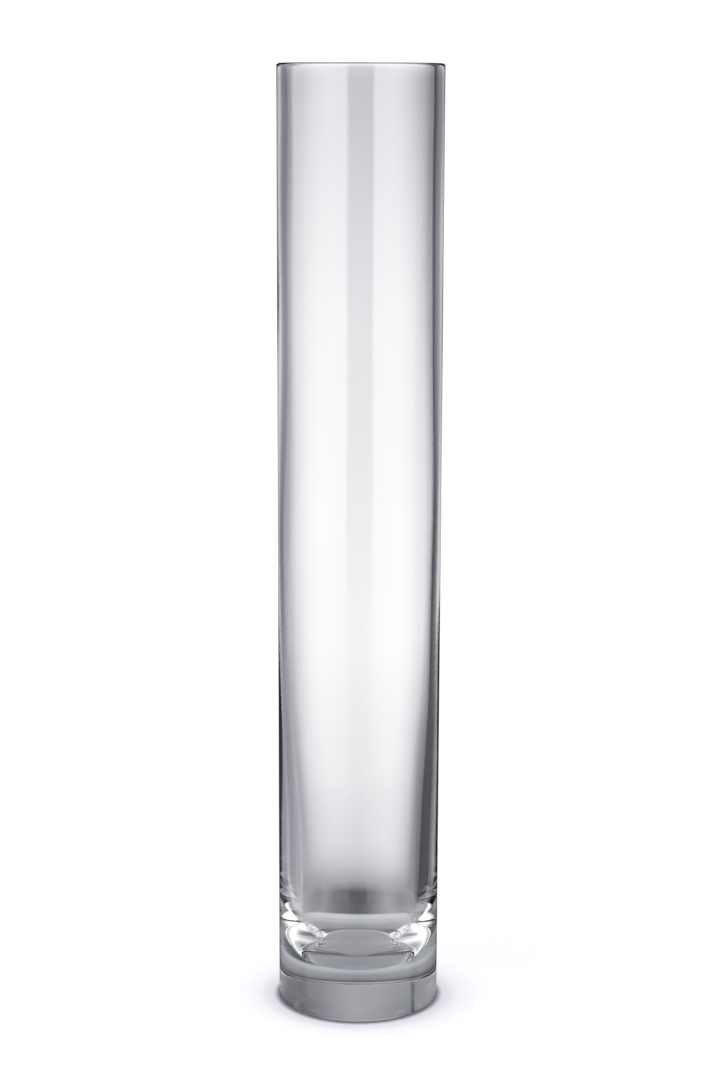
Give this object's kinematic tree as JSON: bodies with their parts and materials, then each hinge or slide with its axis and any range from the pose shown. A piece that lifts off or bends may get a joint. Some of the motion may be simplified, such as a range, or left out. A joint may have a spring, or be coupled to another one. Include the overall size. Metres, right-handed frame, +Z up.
{
  "type": "glass cylinder vase",
  "caption": "Tall straight-sided clear glass cylinder vase with a thick solid base, a rounded cavity floor and a softly rounded lip, for cut flowers.",
  "frame": {"origin": "centre of the flat underside that the vase rests on", "axes": "+Z up along the cylinder's axis towards the mouth; X and Y are free, as the vase is a body of revolution"},
  "size_m": [0.0874, 0.0874, 0.508],
  "materials": {
    "clear_glass": "clear soda-lime glass, polished outside, fire-finished and slightly wavy inside, faint cool green tint in its depth"
  },
  "bodies": {
    "root": {"vase_base": "clear_glass", "vase_wall": "clear_glass", "vase_lip": "clear_glass"}
  },
  "joints": []
}
